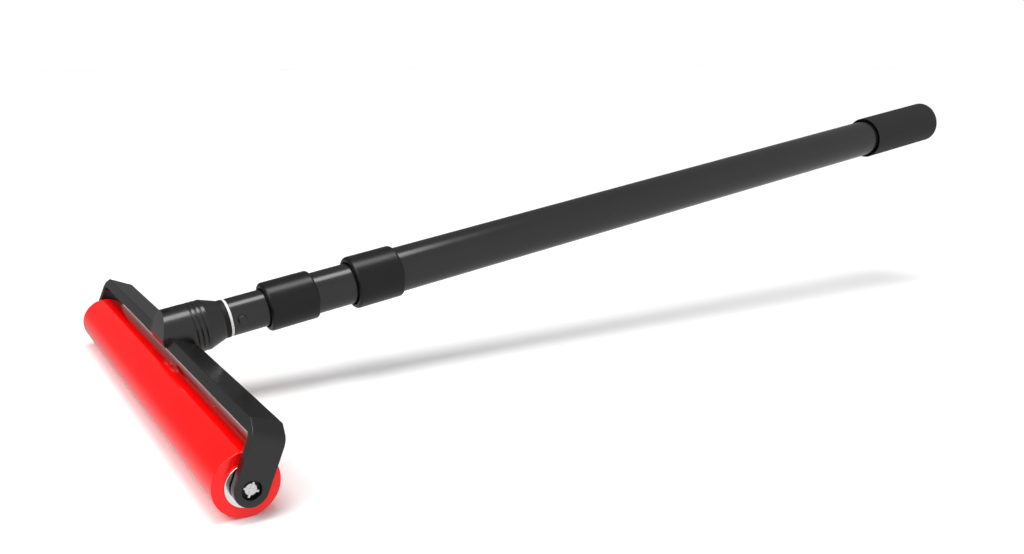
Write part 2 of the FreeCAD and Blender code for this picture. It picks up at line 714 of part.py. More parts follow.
screws = []
for k, sign in enumerate(("", "-")):
    below = f"{UNDERSIDE} - Sizes.socket_screw_height"
    shank = cylinder(f"pan_shank{k}", "Sizes.screw_diameter / 2", "Sizes.socket_screw_reach", UNDERSIDE)
    head = cylinder(f"pan_head{k}", "Sizes.socket_screw_head / 2", "Sizes.socket_screw_height", below)
    crown = doc.addObject("Part::Fillet", f"pan_crown{k}")
    doc.recompute()
    rims = [n for n, edge in enumerate(head.Shape.Edges, start=1) if len(edge.Vertexes) == 1]
    lower_rim = min(rims, key=lambda n: head.Shape.Edges[n - 1].CenterOfMass.z)
    crown.Base = head
    crown.Edges = [(lower_rim, size("socket_screw_round"), size("socket_screw_round"))]
    slots = [
        block(f"pan_slot{k}0", "Sizes.driver_span", "Sizes.driver_width", "Sizes.driver_depth", below),
        block(f"pan_slot{k}1", "Sizes.driver_width", "Sizes.driver_span", "Sizes.driver_depth", below),
    ]
    screw = cut_from(f"socket_screw{k}", joined(f"pan_screw{k}", shank, crown), *slots)
    shift = Vector(size("socket_screw_gap") / 2 * (1 - 2 * k), 0, 0)
    screw.Placement = ON_YOKE.multiply(Placement(shift, Rotation()))
    screws.append(screw)
group("socket_screws", screws)


# Screw tip, seal and ring at the front of the pole ------------------------------------------

CREST = "Sizes.thread_diameter / 2"
ROOT = "Sizes.tip_thread_root / 2"
RING_START = "Sizes.cone_end + Sizes.seal_length"
TUBE_START = f"{RING_START} + Sizes.ring_length"
INNER = "Sizes.inner_tube_diameter / 2"
INNER_BORE = f"{INNER} - Sizes.tube_wall"
outline = [("0", "Sizes.thread_bottom + Sizes.tip_plate"), (ROOT, "Sizes.thread_bottom + Sizes.tip_plate")]
for k in range(int(size("tip_thread_count"))):
    ridge = f"Sizes.thread_bottom + Sizes.tip_wall + {k} * Sizes.tip_thread_pitch"
    outline += [
        (ROOT, ridge),
        (CREST, f"{ridge} + Sizes.tip_thread_flank"),
        (CREST, f"{ridge} + Sizes.tip_thread_flank + Sizes.tip_thread_crest"),
        (ROOT, f"{ridge} + 2 * Sizes.tip_thread_flank + Sizes.tip_thread_crest"),
    ]
outline += [
    (ROOT, "Sizes.cone_end - Sizes.tip_wall"),
    (CREST, "Sizes.cone_end - Sizes.tip_wall"),
    (CREST, TUBE_START),
    (f"{INNER_BORE} - Sizes.seat_play", TUBE_START),
    (f"{INNER_BORE} - Sizes.seat_play", "Sizes.tip_end"),
    (f"{INNER_BORE} - Sizes.seat_play - Sizes.tip_wall", "Sizes.tip_end"),
    (f"{INNER_BORE} - Sizes.seat_play - Sizes.tip_wall", f"{TUBE_START} + Sizes.tip_plate"),
    ("0", f"{TUBE_START} + Sizes.tip_plate"),
]
tip = turned("pole_tip", outline, ON_POLE)


def button_hole(body, name):
    """Round hole for the snap button through the +X side of a turned body."""
    hole = new_sketch(body, name + "_hole", "YZ_Plane")
    draw_circle(hole, "0", "Sizes.button_station", "Sizes.button_diameter / 2 + Sizes.button_play")
    pocket(body, hole, name + "_hole_pocket", reverse=True)


button_hole(tip, "pole_tip")

for name, outside, start, length in (
    ("tip_seal_ring", "Sizes.cone_end_diameter / 2", "Sizes.cone_end", "Sizes.seal_length"),
    ("white_ring", INNER, RING_START, "Sizes.ring_length"),
):
    keep(name, ring(name, BORE, outside, length, start)).Placement = ON_POLE

# Snap button and its leaf spring --------------------------------------------------------------

BUTTON = "Sizes.button_diameter / 2"
button = turned(
    "snap_button",
    (
        ("0", "Sizes.button_foot"),
        ("Sizes.button_flange / 2", "Sizes.button_foot"),
        ("Sizes.button_flange / 2", "Sizes.button_foot + Sizes.flange_thickness"),
        (BUTTON, "Sizes.button_foot + Sizes.flange_thickness"),
        (BUTTON, "Sizes.button_top"),
        ("0", "Sizes.button_top"),
    ),
    AT_BUTTON,
)
round_edges(
    button, "button_crown", "Sizes.button_round", is_rim(size("button_diameter") / 2, size("button_top"))
)

# The leaf is a U: half a ring about its bend's axis and two flat legs. Its own X is the button's
# direction and its own Y runs along the pole.
LEAF_BORE = "Sizes.leaf_radius - Sizes.leaf_thickness"
LEG = "Sizes.leaf_bend - Sizes.leaf_start"
bend = ring("leaf_bend_ring", LEAF_BORE, "Sizes.leaf_radius", "Sizes.leaf_width")
lower_half = block("leaf_lower_half", "3 * Sizes.leaf_radius", "2 * Sizes.leaf_radius", "Sizes.leaf_width")
lower_half.setExpression("Placement.Base.y", "-2 * Sizes.leaf_radius")
legs = []
for k, side in enumerate((LEAF_BORE, "-Sizes.leaf_radius")):
    leg = block(f"leaf_leg{k}", "Sizes.leaf_thickness", LEG, "Sizes.leaf_width")
    leg.setExpression("Placement.Base.x", side)
    leg.setExpression("Placement.Base.y", f"-({LEG})")
    legs.append(leg)
leaf = joined("snap_spring_leaf", cut_from("leaf_bend", bend, lower_half), *legs)
bend_centre = Vector(
    size("button_foot") - size("leaf_radius"), size("leaf_width") / 2, size("leaf_bend")
)
leaf.Placement = ON_POLE.multiply(Placement(bend_centre, Rotation(Vector(1, 0, 0), 90)))
keep("snap_spring", leaf)


# Telescopic tubes and their guide bushes ------------------------------------------------------

MID = "Sizes.mid_tube_diameter / 2"
MAIN = "Sizes.main_tube_diameter / 2"
TUBES = (
    ("inner", INNER, TUBE_START, "Sizes.inner_tube_end"),
    ("mid", MID, "Sizes.front_collar_start + Sizes.lock_setback", "Sizes.mid_tube_end"),
    ("main", MAIN, "Sizes.rear_collar_start + Sizes.lock_setback", "Sizes.main_tube_end"),
)
for name, outside, start, end in TUBES:
    inside = f"{outside} - Sizes.tube_wall"
    outline = ((inside, start), (outside, start), (outside, end), (inside, end))
    tube = turned(f"{name}_tube", outline, ON_POLE)
    if name == "inner":
        button_hole(tube, "inner_tube")

for name, tube, outer_tube, end in (
    ("inner", INNER, MID, "Sizes.inner_tube_end"),
    ("mid", MID, MAIN, "Sizes.mid_tube_end"),
):
    plug = f"{tube} - Sizes.tube_wall - Sizes.seat_play"
    flange = f"{outer_tube} - Sizes.tube_wall - Sizes.slide_play"
    turned(
        f"{name}_guide_bush",
        (
            (f"{plug} - Sizes.bush_wall", f"{end} - Sizes.bush_plug"),
            (plug, f"{end} - Sizes.bush_plug"),
            (plug, end),
            (f"{flange} - Sizes.fine_chamfer", end),
            (flange, f"{end} + Sizes.fine_chamfer"),
            (flange, f"{end} + Sizes.bush_flange - Sizes.fine_chamfer"),
            (f"{flange} - Sizes.fine_chamfer", f"{end} + Sizes.bush_flange"),
            (f"{plug} - Sizes.bush_wall", f"{end} + Sizes.bush_flange"),
        ),
        ON_POLE,
    )


# Twist locks: a collet round the thinner tube, a threaded ferrule fixed on the thicker one, and
# a collar that screws along the ferrule and squeezes the collet with its cone.


def twist_lock(name, thin, thick, start, end, outside):
    """Ferrule, split collet and collar of one lock, from the radii of the two tubes."""
    turned(
        f"{name}_lock_ferrule",
        (
            (thick, f"{start} + Sizes.lock_setback"),
            (f"{thick} + Sizes.ferrule_wall", f"{start} + Sizes.lock_setback"),
            (f"{thick} + Sizes.ferrule_wall", f"{end} - Sizes.ferrule_gap"),
            (thick, f"{end} - Sizes.ferrule_gap"),
        ),
        ON_POLE,
    )
    collet = turned(
        f"{name}_collet",
        (
            (f"{thin} + Sizes.slide_play", f"{start} + Sizes.collet_start"),
            (f"{thin} + Sizes.collet_front", f"{start} + Sizes.collet_start"),
            (f"{thick} + Sizes.collet_rear", f"{start} + Sizes.collet_end"),
            (f"{thin} + Sizes.slide_play", f"{start} + Sizes.collet_end"),
        ),
        ON_POLE,
    )
    slit = new_sketch(collet, f"{name}_slit", "XY_Plane")
    half = "Sizes.collet_slit / 2"
    draw_outline(
        slit,
        (("0", half), (outside, half), (outside, f"-{half}"), ("0", f"-{half}")),
    )
    pocket(collet, slit, f"{name}_slit_pocket", reverse=True)
    collar = turned(
        f"{name}_lock_collar",
        (
            (f"{thin} + Sizes.collar_lip_play", start),
            (outside, start),
            (outside, end),
            (f"{thick} + Sizes.collar_rear_play", end),
            (f"{thick} + Sizes.collar_rear_play", f"{end} - Sizes.collar_rear_lip"),
            (f"{thick} + Sizes.collar_bore_play", f"{end} - Sizes.collar_rear_lip"),
            (f"{thick} + Sizes.collar_bore_play", f"{start} + Sizes.collar_cone_end"),
            (f"{thick} + Sizes.collar_cone_large", f"{start} + Sizes.collar_cone_end"),
            (f"{thin} + Sizes.collar_cone_small", f"{start} + Sizes.collar_lip_length"),
            (f"{thin} + Sizes.collar_lip_play", f"{start} + Sizes.collar_lip_length"),
        ),
        ON_POLE,
    )
    radius = size(f"{name}_collar_diameter") / 2
    for rim, end_size, rounding in (
        ("front_rim", f"{name}_collar_start", "Sizes.collar_round"),
        ("back_rim", f"{name}_collar_end", "Sizes.collar_back_round"),
    ):
        round_edges(collar, f"{name}_collar_{rim}", rounding, is_rim(radius, size(end_size)))


for name, thin, thick in (("front", INNER, MID), ("rear", MID, MAIN)):
    twist_lock(
        name,
        thin,
        thick,
        f"Sizes.{name}_collar_start",
        f"Sizes.{name}_collar_end",
        f"Sizes.{name}_collar_diameter / 2",
    )


# Rubber hand grip and the plug that closes the main tube --------------------------------------

GRIP = "Sizes.grip_diameter / 2"
GRIP_FLOOR = "Sizes.grip_end - Sizes.grip_end_wall"
grip = turned(
    "hand_grip",
    (
        (f"{GRIP} - Sizes.grip_lip", "Sizes.grip_start"),
        (GRIP, "Sizes.grip_start"),
        (GRIP, "Sizes.grip_end"),
        ("0", "Sizes.grip_end"),
        ("0", GRIP_FLOOR),
        (MAIN, GRIP_FLOOR),
        (MAIN, "Sizes.grip_start + Sizes.grip_recess"),
        (f"{GRIP} - Sizes.grip_lip", "Sizes.grip_start + Sizes.grip_recess"),
    ),
    ON_POLE,
)
round_edges(grip, "grip_rim", "Sizes.grip_round", is_rim(size("grip_diameter") / 2, size("grip_end")))

PLUG = f"{MAIN} - Sizes.tube_wall - Sizes.seat_play"
turned(
    "tube_end_plug",
    (
        ("0", "Sizes.plug_start"),
        (PLUG, "Sizes.plug_start"),
        (PLUG, "Sizes.main_tube_end"),
        (MAIN, "Sizes.main_tube_end"),
        (MAIN, GRIP_FLOOR),
        ("0", GRIP_FLOOR),
    ),
    ON_POLE,
)


# Checks and export ----------------------------------------------------------------------------

doc.recompute()
failed = [thing.Name for thing in doc.Objects if {"Invalid", "Error"} & set(thing.State)]
if failed:
    raise RuntimeError(f"features that failed: {failed}")

os.makedirs("parts", exist_ok=True)
for name, thing in sorted(nodes.items()):
    shape = thing.Shape
    if shape.isNull() or not shape.isValid():
        raise RuntimeError(f"{name} has no valid shape")
    shape.exportStep(f"parts/{name}.step")
    low = shape.BoundBox
    print(
        f"{name:24s} solids {len(shape.Solids):2d} volume {shape.Volume:10.1f}"
        f"  x {low.XMin:7.1f} {low.XMax:6.1f}  y {low.YMin:6.1f} {low.YMax:6.1f}"
        f"  z {low.ZMin:6.1f} {low.ZMax:6.1f}"
    )
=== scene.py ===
import json
import math

import bmesh
import bpy
import numpy as np
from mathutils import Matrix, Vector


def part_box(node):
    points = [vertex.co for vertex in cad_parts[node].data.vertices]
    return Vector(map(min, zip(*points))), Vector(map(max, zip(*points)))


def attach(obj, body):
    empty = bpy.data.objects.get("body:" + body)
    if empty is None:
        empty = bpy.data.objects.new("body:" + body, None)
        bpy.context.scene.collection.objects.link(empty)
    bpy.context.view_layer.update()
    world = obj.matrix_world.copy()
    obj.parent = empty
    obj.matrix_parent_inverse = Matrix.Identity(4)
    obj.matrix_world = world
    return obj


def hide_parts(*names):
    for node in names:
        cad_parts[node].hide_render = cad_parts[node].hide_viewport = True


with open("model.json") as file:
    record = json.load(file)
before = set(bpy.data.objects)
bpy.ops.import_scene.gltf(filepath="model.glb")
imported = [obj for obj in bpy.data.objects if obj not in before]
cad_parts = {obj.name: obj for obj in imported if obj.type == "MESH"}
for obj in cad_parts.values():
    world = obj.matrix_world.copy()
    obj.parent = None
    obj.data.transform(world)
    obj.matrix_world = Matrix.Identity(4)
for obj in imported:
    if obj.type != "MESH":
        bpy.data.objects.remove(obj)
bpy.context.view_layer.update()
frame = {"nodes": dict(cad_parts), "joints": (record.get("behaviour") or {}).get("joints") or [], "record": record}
MM = 0.001

# Camera ---------------------------------------------------------------------------------------
# It stands low beyond the left end of the roller and looks along the pole towards the grip.

camera = bpy.data.objects.new("camera", bpy.data.cameras.new("camera"))
camera.location = (0.6316, -0.1278, 0.2238)
heading, dip = math.radians(57.93), math.radians(12.72)
camera.rotation_euler = (math.pi / 2 - dip, 0, heading)
camera.data.sensor_width = 36
camera.data.lens = 34.51
camera.data.clip_start = 0.01
bpy.context.collection.objects.link(camera)
bpy.context.scene.camera = camera
bpy.context.scene.view_settings.view_transform = "Standard"

# Floor and light ------------------------------------------------------------------------------
# A white floor under a broad, even overhead light. The surround is bright behind the camera and
# dark beyond the far end of the roller. A box above the pole draws the bright line along the
# tubes, and a large one in front of the roller fills its shadows.

floor_reach, paper_white = 15.0, 0.93
floor_mesh = bpy.data.meshes.new("studio_floor")
floor_corners = [(-floor_reach, -floor_reach, 0), (floor_reach, -floor_reach, 0),
                 (floor_reach, floor_reach, 0), (-floor_reach, floor_reach, 0)]
floor_mesh.from_pydata(floor_corners, [], [(0, 1, 2, 3)])
floor = bpy.data.objects.new("studio_floor", floor_mesh)
bpy.context.collection.objects.link(floor)
paper = bpy.data.materials.new("studio_paper")
paper.use_nodes = True
paper_shader = paper.node_tree.nodes["Principled BSDF"]
paper_shader.inputs["Base Color"].default_value = (paper_white,) * 3 + (1,)
paper_shader.inputs["Specular IOR Level"].default_value = 0.0
floor.data.materials.append(paper)
floor.visible_glossy = False


class Field:
    """One socket of a node tree. Arithmetic on it adds Math nodes, and node() adds any other."""

    def __init__(self, tree, socket):
        self.tree, self.socket = tree, socket

    def node(self, kind, settings=None, sockets=None, output=0):
        """Adds a node of a type: its settings first, then the values or links of its sockets."""
        made = self.tree.nodes.new("ShaderNode" + kind)
        for key, value in (settings or {}).items():
            setattr(made, key, value)
        for key, value in (sockets or {}).items():
            if isinstance(value, Field):
                self.tree.links.new(value.socket, made.inputs[key])
            else:
                made.inputs[key].default_value = value
        return Field(self.tree, made.outputs[output])

    def math(self, operation, first, second):
        return self.node("Math", {"operation": operation}, {0: first, 1: second})

    def __add__(self, other):
        return self.math("ADD", self, other)

    def __sub__(self, other):
        return self.math("SUBTRACT", self, other)

    def __rsub__(self, other):
        return self.math("SUBTRACT", other, self)

    def __mul__(self, other):
        return self.math("MULTIPLY", self, other)

    __radd__, __rmul__ = __add__, __mul__

    def noise(self, scale, detail=2.0):
        """Even noise from 0 to 1 on these coordinates, with scale counted per metre."""
        return self.node("TexNoise", sockets={"Vector": self, "Scale": scale, "Detail": detail})

    def tinted(self, dark, light):
        """Colour that goes from dark to light as this value goes from 0 to 1."""
        ends = {0: self, 6: (*dark, 1), 7: (*light, 1)}
        return self.node("Mix", {"data_type": "RGBA"}, ends, output=2)


dark_side, bright_side, backdrop, ground_height, ground_share = 0.13, 1.00, 1.0, -0.4, 0.5
world = bpy.data.worlds.new("studio")
world.use_nodes = True
around = world.node_tree
heading_of = Field(around, around.nodes.new("ShaderNodeTexCoord").outputs["Generated"])
sideways = heading_of.node("SeparateXYZ", sockets={0: heading_of}, output="X")
upwards = heading_of.node("SeparateXYZ", sockets={0: heading_of}, output="Z")
surround = sideways.node("MapRange", sockets={
    "Value": sideways, "From Min": -1, "From Max": 1, "To Min": dark_side, "To Max": bright_side})
ground = upwards.node("MapRange", sockets={
    "Value": upwards, "From Min": 0, "From Max": ground_height, "To Max": ground_share})
lifted = surround.node("Mix", sockets={"Factor": ground, "A": surround, "B": bright_side})
in_view = Field(around, around.nodes.new("ShaderNodeLightPath").outputs["Is Camera Ray"])
seen = lifted.node("Mix", sockets={"Factor": in_view, "A": lifted, "B": backdrop})
around.links.new(seen.socket, around.nodes["Background"].inputs["Strength"])
around.nodes["Background"].inputs["Color"].default_value = (1, 1, 1, 1)
bpy.context.scene.world = world


def lamp(name, kind, energy, place=(0, 0, 0), lean=(0, 0, 0), **form):
    """Light of a kind at a place, turned by three angles in degrees, with its own settings."""
    light = bpy.data.lights.new(name, kind)
    light.energy = energy
    for key, value in form.items():
        setattr(light, key, value)
    held = bpy.data.objects.new(name, light)
    held.location, held.rotation_euler = place, [math.radians(angle) for angle in lean]
    bpy.context.collection.objects.link(held)
    return held


overhead = lamp("overhead", "SUN", 1.62, lean=(0, 2, 0), angle=math.radians(27))
overhead.visible_glossy = False
strip_box = lamp("strip_box", "AREA", 7.2, (0.045, 0.08, 1.05),
                 shape="RECTANGLE", size=0.38, size_y=0.75)
strip_box.visible_diffuse = False
lamp("front_fill", "AREA", 18.0, (0.35, -1.0, 1.5), (35.2, 0, 19.3),
     shape="RECTANGLE", size=1.6, size_y=1.2)

# Roller sleeve --------------------------------------------------------------------------------
# Red rubber cast on an aluminium core and ground round. It is glossy, with the edges of its ends
# just broken. Its faces are a profile turned about the axle.

axle = np.array(next(j for j in frame["joints"] if j["name"] == "roller_spin")["pos_m"])
ROLLER_AXIS = (axle, (1.0, 0.0, 0.0), (0.0, 0.0, 1.0))


def rounded(corners, steps=8):
    """Profile through corners (station, radius, rounding): a corner with a rounding becomes an
    arc that touches both of its straight sides, and one without stays sharp."""
    points = []
    count = len(corners)
    for k, (station, radius, rounding) in enumerate(corners):
        corner = np.array((station, radius), float)
        if rounding <= 0:
            points.append(corner)
            continue
        before = np.array(corners[(k - 1) % count][:2]) - corner
        after = np.array(corners[(k + 1) % count][:2]) - corner
        before, after = before / np.linalg.norm(before), after / np.linalg.norm(after)
        half = math.acos(np.clip(before @ after, -1, 1)) / 2
        between = (before + after) / np.linalg.norm(before + after)
        middle = corner + between * rounding / math.sin(half)
        start = corner + before * rounding / math.tan(half) - middle
        end = corner + after * rounding / math.tan(half) - middle
        sweep = math.pi - 2 * half
        for share in np.linspace(0, 1, steps + 1):
            weights = math.sin((1 - share) * sweep), math.sin(share * sweep)
            points.append(middle + (weights[0] * start + weights[1] * end) / math.sin(sweep))
    return np.array(points)


def piece(name, points, faces, sharp=30.0, bevel=0.0):
    """Closed mesh from points and faces: doubles merged, stray edges removed, faces turned
    outwards, edges steeper than the sharp angle kept crisp, and an optional small bevel."""
    mesh = bpy.data.meshes.new(name)
    mesh.from_pydata(np.asarray(points).tolist(), [], [list(map(int, face)) for face in faces])
    work = bmesh.new()
    work.from_mesh(mesh)
    bmesh.ops.remove_doubles(work, verts=work.verts, dist=1e-6)
    bmesh.ops.dissolve_degenerate(work, edges=work.edges, dist=1e-7)
    stray = [edge for edge in work.edges if not edge.link_faces]
    bmesh.ops.delete(work, geom=stray, context="EDGES")
    bmesh.ops.recalc_face_normals(work, faces=work.faces)
    work.to_mesh(mesh)
    work.free()
    mesh.shade_smooth()
    mesh.set_sharp_from_angle(angle=math.radians(sharp))
    made = bpy.data.objects.new(name, mesh)
    bpy.context.collection.objects.link(made)
    if bevel:
        edge = made.modifiers.new("soft_edges", "BEVEL")
        edge.width, edge.segments, edge.angle_limit = bevel, 3, math.radians(20)
    weighted = made.modifiers.new("flat_faces", "WEIGHTED_NORMAL")
    weighted.keep_sharp = True
    weighted.weight = 90
    return made


def turned(name, outline, axis, steps=160):
    """Surface of revolution: an outline point (station s, radius r) goes to
    origin + s along + r (cos a up + sin a side), for a once round. The outline is a closed loop."""
    origin, along, up = (np.array(vector, float) for vector in axis)
    side = np.cross(along, up)
    station, radius = np.asarray(outline, float).T
    angle = np.linspace(0, 2 * np.pi, steps, endpoint=False)
    around = np.cos(angle)[:, None] * up + np.sin(angle)[:, None] * side
    grid = origin + station[:, None, None] * along + radius[:, None, None] * around
    rows = len(station)
    row, step = np.meshgrid(np.arange(rows), np.arange(steps), indexing="ij")
    after, turn = (row + 1) % rows, (step + 1) % steps
    quads = np.stack([row * steps + step, after * steps + step,
                      after * steps + turn, row * steps + turn], -1)
    return piece(name, grid.reshape(-1, 3), quads.reshape(-1, 4))


def spread(node, axis):
    """First station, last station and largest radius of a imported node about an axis."""
    origin, along = np.array(axis[0], float), np.array(axis[1], float)
    mesh = frame["nodes"][node].data
    corners = np.zeros(len(mesh.vertices) * 3)
    mesh.vertices.foreach_get("co", corners)
    away = corners.reshape(-1, 3) - origin
    station = away @ along
    radius = np.linalg.norm(away - station[:, None] * along, axis=1)
    return station.min(), station.max(), radius.max()


def surface(name, **constants):
    """New material: its shader, with constants set on it, and the piece's own coordinates."""
    material = bpy.data.materials.new(name)
    material.use_nodes = True
    tree = material.node_tree
    shader = tree.nodes["Principled BSDF"]
    for key, value in constants.items():
        shader.inputs[key.replace("_", " ")].default_value = value
    place = Field(tree, tree.nodes.new("ShaderNodeTexCoord").outputs["Object"])
    return material, shader, place


def feed(shader, place, colour=None, roughness=None, height=None, depth=0.0):
    """Links what varies over the surface: colour, roughness, and a height in metres times depth."""
    if colour is not None:
        place.tree.links.new(colour.socket, shader.inputs["Base Color"])
    if roughness is not None:
        place.tree.links.new(roughness.socket, shader.inputs["Roughness"])
    if height is not None:
        bump = place.node("Bump", sockets={"Height": height, "Strength": 1.0, "Distance": depth})
        place.tree.links.new(bump.socket, shader.inputs["Normal"])


def red_rubber():
    """Glossy red rubber: a faint unevenness in its gloss and a very shallow ripple."""
    material, shader, place = surface("red_rubber", IOR=1.46)
    worn = place.noise(60, 4.0)
    feed(shader, place,
         colour=worn.tinted((0.93, 0.001, 0.001), (0.98, 0.003, 0.003)),
         roughness=worn * 0.07 + 0.075,
         height=place.noise(420, 1.0), depth=0.012 * MM)
    return material


def dress(made, material, body, slot, *nodes):
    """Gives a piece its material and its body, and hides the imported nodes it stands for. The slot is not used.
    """
    made.data.materials.append(material)
    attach(made, body)
    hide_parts(*nodes)
    return made


sleeve_first, sleeve_last, sleeve_radius = spread("roller_sleeve", ROLLER_AXIS)
core_radius = spread("roller_core", ROLLER_AXIS)[2]
sleeve_edge = 0.5 * MM
sleeve = turned("roller_sleeve_skin", rounded([
    (sleeve_first, core_radius, 0), (sleeve_first, sleeve_radius, sleeve_edge),
    (sleeve_last, sleeve_radius, sleeve_edge), (sleeve_last, core_radius, 0)]),
    ROLLER_AXIS, steps=224)
dress(sleeve, red_rubber(), "roller", "red_rubber", "roller_sleeve")

# End hubs -------------------------------------------------------------------------------------
# Aluminium plugs pressed into the core, each turned from bar with a seat for its bearing and a
# groove for the circlip. The flange that shows beyond the rubber is polished like a mirror.

bearing_seat, axle_opening, seat_depth, bearing_width = 8.0 * MM, 6.2 * MM, 8.8 * MM, 5.0 * MM
groove_depth, groove_width, plug_radius, flange = 0.45 * MM, 1.0 * MM, 10.0 * MM, 1.5 * MM
hub_edge, turning_marks = 0.3 * MM, 16000.0


def polished_aluminium():
    """Mirror-polished aluminium with faint concentric turning marks about the axle."""
    material, shader, place = surface("polished_aluminium", Metallic=1.0)
    across = place.node("SeparateXYZ", sockets={0: place}, output="Y")
    up = place.node("SeparateXYZ", sockets={0: place}, output="Z") - float(axle[2])
    radius = place.math("SQRT", across * across + up * up, 0.0)
    rings = place.math("SINE", radius * turning_marks, 0.0)
    smudge = place.noise(90, 3.0)
    feed(shader, place,
         colour=smudge.tinted((0.74, 0.74, 0.75), (0.82, 0.82, 0.825)),
         roughness=smudge * 0.05 + 0.035,
         height=rings, depth=0.0015 * MM)
    return material


hub_finish = polished_aluminium()
for side, sign in (("left", 1), ("right", -1)):
    first, last, _ = spread(f"{side}_hub", (axle, (sign, 0, 0), (0, 0, 1)))
    seat = last - seat_depth
    back, groove = seat - bearing_width, bearing_seat + groove_depth
    hub = turned(f"{side}_hub_turned", rounded([
        (first, bearing_seat, 0), (first, plug_radius, 0), (last - flange, plug_radius, 0),
        (last - flange, core_radius, 0), (last, core_radius, hub_edge),
        (last, axle_opening, hub_edge), (seat, axle_opening, 0), (seat, bearing_seat, 0),
        (back, bearing_seat, 0), (back, groove, 0),
        (back - groove_width, groove, 0), (back - groove_width, bearing_seat, 0),
    ], steps=5), (axle, (sign, 0, 0), (0, 0, 1)))
    dress(hub, hub_finish, "roller", "polished_aluminium", f"{side}_hub")

# Yoke frame -----------------------------------------------------------------------------------
# A flat aluminium bar with a sloping shoulder and a bent-down arm at each end, powder coated
# black. Each arm ends in a half round about the axle with a counterbore for the axle's screw.

tilt = math.radians(22.4)
TOWARDS_GRIP = np.array((0, math.cos(tilt), -math.sin(tilt)))
OFF_BAR = np.array((0, math.sin(tilt), math.cos(tilt)))
half_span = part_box("yoke_frame")[1].x
half_width, arm_thickness = 8.85 * MM, 5.8 * MM
bar_top, bar_underside, crease = 33.0 * MM, 26.0 * MM, 179.0 * MM
shoulder_drop, shoulder_bend, inside_bend = 27.4 * MM, 6.8 * MM, 3.0 * MM
counterbore_radius, counterbore_depth, screw_hole = 5.1 * MM, 4.2 * MM, 2.2 * MM
arm_joint, yoke_edge = 12.0 * MM, 0.3 * MM
arm_inside, counterbore_floor = half_span - arm_thickness, half_span - counterbore_depth
bend_steps, joint_points, side_points, round_points = 12, 17, 13, 41


def on_yoke(x, across, off):
    """Points of the yoke from x, the distance towards the grip and the height off the axle."""
    x, across, off = np.broadcast_arrays(x, across, off)
    along = x[..., None] * np.array((1, 0, 0))
    return axle + along + across[..., None] * TOWARDS_GRIP + off[..., None] * OFF_BAR


def sheets_to_mesh(sheets):
    """Joins grids of points into one list of points and one of quads."""
    points, quads, start = [], [], 0
    for sheet in sheets:
        rows, columns = sheet.shape[:2]
        row, column = np.meshgrid(np.arange(rows - 1), np.arange(columns - 1), indexing="ij")
        corner = start + row * columns + column
        quad = [corner, corner + 1, corner + columns + 1, corner + columns]
        quads.append(np.stack(quad, -1).reshape(-1, 4))
        points.append(sheet.reshape(-1, 3))
        start += rows * columns
    return np.concatenate(points), np.concatenate(quads)


def yoke_half(sign):
    """Sheets of one half. Above the joint line the outer and inner contours run side by side from
    the middle of the bar; below it rings go from the arm's outline in to the screw's bores."""
    outer = rounded([(0, bar_top, 0), (crease, bar_top, 0),
                     (half_span, shoulder_drop, shoulder_bend), (half_span, arm_joint, 0)],
                    steps=bend_steps)
    inner = rounded([(0, bar_underside, 0), (crease, bar_underside, 0),
                     (arm_inside, bar_underside, inside_bend), (arm_inside, arm_joint, 0)],
                    steps=bend_steps)
    lean = math.atan2(half_width, arm_joint)
    edge = arm_joint * np.tan(np.linspace(-lean, lean, joint_points))
    edge[0], edge[-1] = -half_width, half_width
    sheets = [on_yoke(sign * face[:, :1], edge[None], face[:, 1:]) for face in (outer, inner)]
    for across in (-half_width, half_width):
        both = np.stack([outer, inner], 1)
        sheets.append(on_yoke(sign * both[..., 0], across, both[..., 1]))

    climb = half_width * np.tan(np.linspace(np.pi / 2 - lean, 0, side_points))
    climb[0], climb[-1] = arm_joint, 0
    swing = np.linspace(0, -np.pi, round_points)[1:-1]
    across = np.concatenate([edge, np.full(side_points - 1, half_width),
                             half_width * np.cos(swing), np.full(side_points, -half_width)])
    off = np.concatenate([np.full(joint_points, arm_joint), climb[1:],
                          half_width * np.sin(swing), climb[::-1]])
    reach = np.hypot(across, off)
    unit = across / reach, off / reach

    def ring(x, radius):
        return on_yoke(sign * x, radius * unit[0], radius * unit[1])

    rim_out = on_yoke(sign * half_span, across, off)
    rim_in = on_yoke(sign * arm_inside, across, off)
    bore = [ring(half_span, counterbore_radius), ring(counterbore_floor, counterbore_radius),
            ring(counterbore_floor, screw_hole), ring(arm_inside, screw_hole)]
    sheets.append(np.stack([rim_out, *bore, rim_in]))
    sheets.append(np.stack([rim_out[joint_points - 1:], rim_in[joint_points - 1:]]))
    return sheets


def black_powder_coat():
    """Satin black powder coat: fine orange peel, and slightly uneven gloss."""
    material, shader, place = surface("black_powder_coat", IOR=1.5)
    cloud = place.noise(45, 3.0)
    feed(shader, place,
         colour=cloud.tinted((0.004, 0.004, 0.004), (0.007, 0.007, 0.007)),
         roughness=cloud * 0.06 + 0.18,
         height=place.noise(1500, 2.0), depth=0.008 * MM)
    return material


yoke = piece("yoke_bar", *sheets_to_mesh(yoke_half(1) + yoke_half(-1)), sharp=18, bevel=yoke_edge)
dress(yoke, black_powder_coat(), "head", "black_coated_aluminium", "yoke_frame")

# Axle screws and washers ----------------------------------------------------------------------
# A bright-plated screw holds each end of the dead axle. Its low head carries a raised cross, and
# it sits on a black lock washer at the bottom of the counterbore. The cross is square to the bar.

head_radius, head_edge, head_round = 3.3 * MM, 0.15 * MM, 0.5 * MM
rib_half_span, rib_half_width, rib_foot = 4.0 * MM, 0.55 * MM, 0.1 * MM


